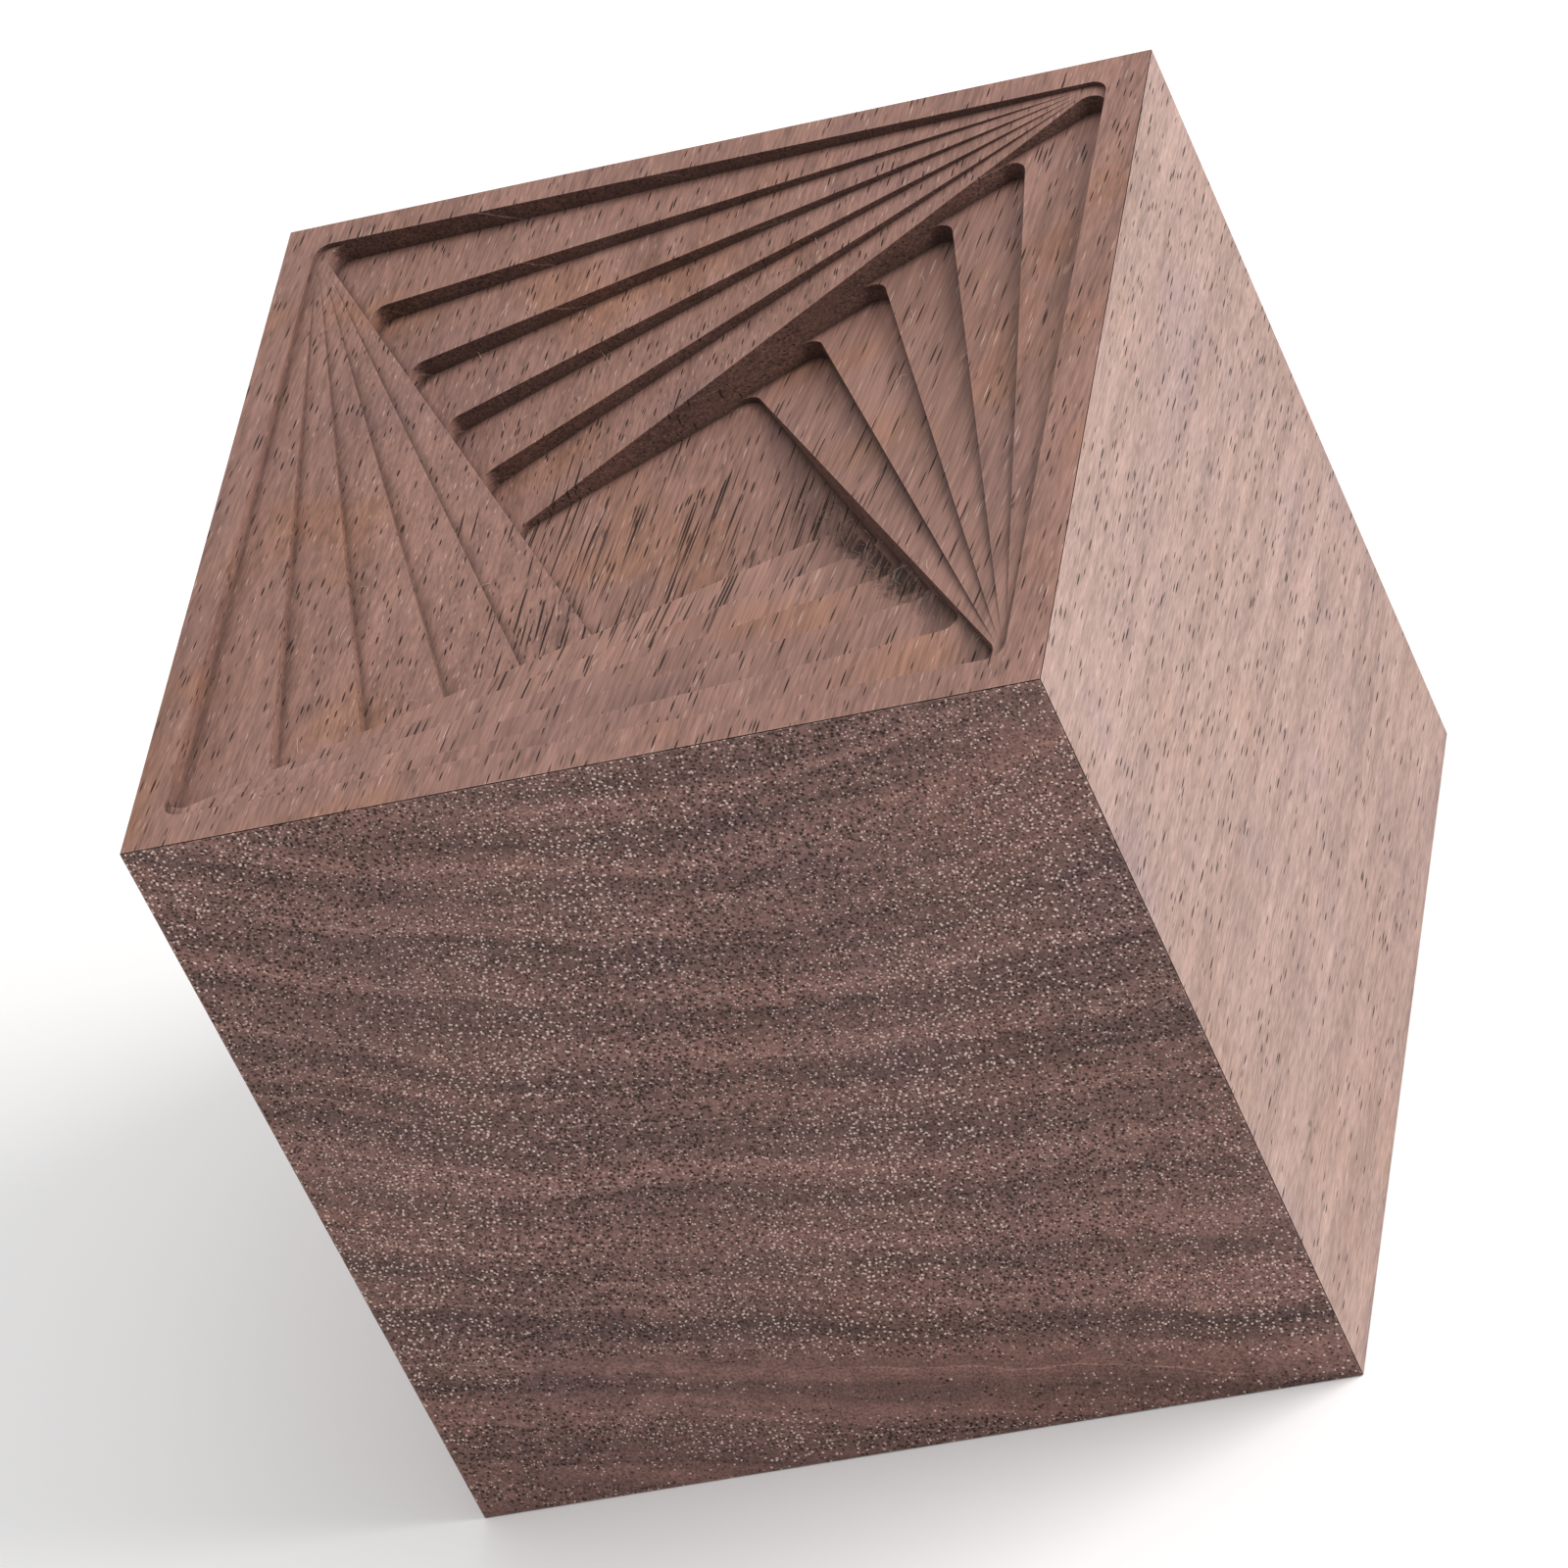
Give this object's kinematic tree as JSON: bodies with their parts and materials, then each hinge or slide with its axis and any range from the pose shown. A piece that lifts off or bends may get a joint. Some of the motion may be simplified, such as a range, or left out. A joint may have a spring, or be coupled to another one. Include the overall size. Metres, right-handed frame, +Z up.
{
  "type": "burr puzzle cube",
  "caption": "Wooden cube puzzle that opens by spreading its dowelled pyramid blocks all at once, with a stepped whirl carved in its top face.",
  "frame": {"origin": "centre of the face the cube rests on, at its underside", "axes": "+Z up through the carved face, -Y out of the end-grain face at the front, +X out of the long-grain face at the right"},
  "size_m": [0.05, 0.05, 0.05],
  "materials": {
    "walnut": "sanded, unfinished long-grain walnut",
    "walnut_carved": "long-grain walnut as the carving cutter leaves it",
    "walnut_end": "sanded, unfinished walnut end grain",
    "birch": "plain turned birch dowel"
  },
  "bodies": {
    "bottom": {"bottom_block": "walnut", "dowel_bottom_front": "birch", "dowel_bottom_back": "birch"},
    "front": {"front_block": "walnut_end", "dowel_front_left": "birch", "dowel_front_right": "birch"},
    "back": {"back_block": "walnut_end", "dowel_back_left": "birch", "dowel_back_right": "birch"},
    "left": {"left_block": "walnut", "dowel_left_top": "birch", "dowel_left_bottom": "birch"},
    "right": {"right_block": "walnut", "dowel_right_top": "birch", "dowel_right_bottom": "birch"},
    "top": {"top_block": "walnut_carved", "dowel_top_front": "birch", "dowel_top_back": "birch"}
  },
  "joints": [
    {"name": "front_slide", "type": "slide", "parent": "bottom", "child": "front", "axis": [0, -0.7071, 0.7071], "range_m": [0, 0.007]},
    {"name": "back_slide", "type": "slide", "parent": "bottom", "child": "back", "axis": [0, 0.7071, 0.7071], "range_m": [0, 0.007]},
    {"name": "left_slide", "type": "slide", "parent": "bottom", "child": "left", "axis": [-0.7071, 0, 0.7071], "range_m": [0, 0.007]},
    {"name": "right_slide", "type": "slide", "parent": "bottom", "child": "right", "axis": [0.7071, 0, 0.7071], "range_m": [0, 0.007]},
    {"name": "top_slide", "type": "slide", "parent": "bottom", "child": "top", "axis": [0, 0, 1], "range_m": [0, 0.0099]}
  ],
  "couplings": [
    {"joint": "back_slide", "follows": "front_slide", "ratio": 1},
    {"joint": "left_slide", "follows": "front_slide", "ratio": 1},
    {"joint": "right_slide", "follows": "front_slide", "ratio": 1},
    {"joint": "top_slide", "follows": "front_slide", "ratio": 1.4142}
  ]
}
